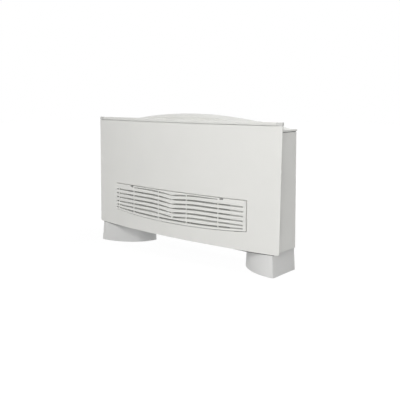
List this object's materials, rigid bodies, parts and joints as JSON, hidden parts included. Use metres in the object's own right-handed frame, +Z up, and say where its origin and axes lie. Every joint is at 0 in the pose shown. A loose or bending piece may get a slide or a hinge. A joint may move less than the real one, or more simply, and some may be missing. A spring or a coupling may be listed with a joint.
{
  "type": "fan coil unit",
  "caption": "Floor-standing fan coil unit with a bowed front panel, a louvred tilt-out intake grille, an arched hinged outlet flap, centrifugal fans inside and hollow feet",
  "frame": {"origin": "on the floor, under the middle of the bounding box", "axes": "X along the width, +Y to the wall behind, +Z up; the front panel faces -Y"},
  "size_m": [1.2, 0.2255, 0.7139],
  "materials": {
    "casing_paint": "satin off-white paint",
    "casing_plastic": "satin off-white moulding",
    "foot_plastic": "satin grey moulding",
    "zinc_sheet": "galvanised sheet",
    "steel": "plain steel",
    "dark_plastic": "black moulding",
    "motor_case": "cast aluminium",
    "fin_aluminium": "rolled fin stock",
    "copper": "drawn copper",
    "filter_plastic": "dark moulding",
    "filter_cloth": "woven filter mesh",
    "cover_plastic": "grey moulding",
    "strip_plastic": "pale moulding"
  },
  "bodies": {
    "cabinet": {"front_panel": "casing_paint", "top_trim": "casing_plastic", "left_trim_cap": "casing_plastic", "right_trim_cap": "casing_plastic", "top_cover": "casing_plastic", "left_side_panel": "casing_paint", "right_side_panel": "casing_paint", "panel_clips": "zinc_sheet", "bottom_panel": "zinc_sheet", "back_frame": "zinc_sheet", "left_foot": "foot_plastic", "right_foot": "foot_plastic", "foot_screws": "steel", "left_end_plate": "zinc_sheet", "right_end_plate": "zinc_sheet", "front_baffle": "zinc_sheet", "fan_deck": "zinc_sheet", "deck_screws": "steel", "left_fan_housing": "zinc_sheet", "right_fan_housing": "zinc_sheet", "motor": "motor_case", "motor_cradle": "zinc_sheet", "bearing_hangers": "zinc_sheet", "coil_fins": "fin_aluminium", "coil_end_sheets": "zinc_sheet", "coil_bends": "copper", "supply_header": "copper", "return_header": "copper", "drain_tray": "dark_plastic", "drain_spout": "dark_plastic", "outlet_guard": "dark_plastic", "hinge_brackets": "zinc_sheet", "terminal_box": "dark_plastic", "terminal_cover": "cover_plastic", "terminal_strip": "strip_plastic", "cable_gland": "dark_plastic", "box_screws": "steel"},
    "flap": {"outlet_flap": "casing_plastic", "flap_pins": "steel"},
    "grille": {"intake_grille": "casing_plastic", "grille_pins": "steel", "filter_frame": "filter_plastic", "filter_mesh": "filter_cloth"},
    "rotor": {"fan_shaft": "steel", "left_fan_wheel": "dark_plastic", "right_fan_wheel": "dark_plastic"}
  },
  "joints": [
    {"name": "flap_hinge", "type": "hinge", "parent": "cabinet", "child": "flap", "pos_m": [0, 0.078, 0.667], "axis": [-1, 0, 0], "range_deg": [0, 50]},
    {"name": "grille_hinge", "type": "hinge", "parent": "cabinet", "child": "grille", "pos_m": [0, -0.10593, 0.18052], "axis": [1, 0, 0], "range_deg": [0, 30]},
    {"name": "fan_spin", "type": "hinge", "parent": "cabinet", "child": "rotor", "pos_m": [0, 0.02, 0.222], "axis": [1, 0, 0], "continuous": true}
  ]
}
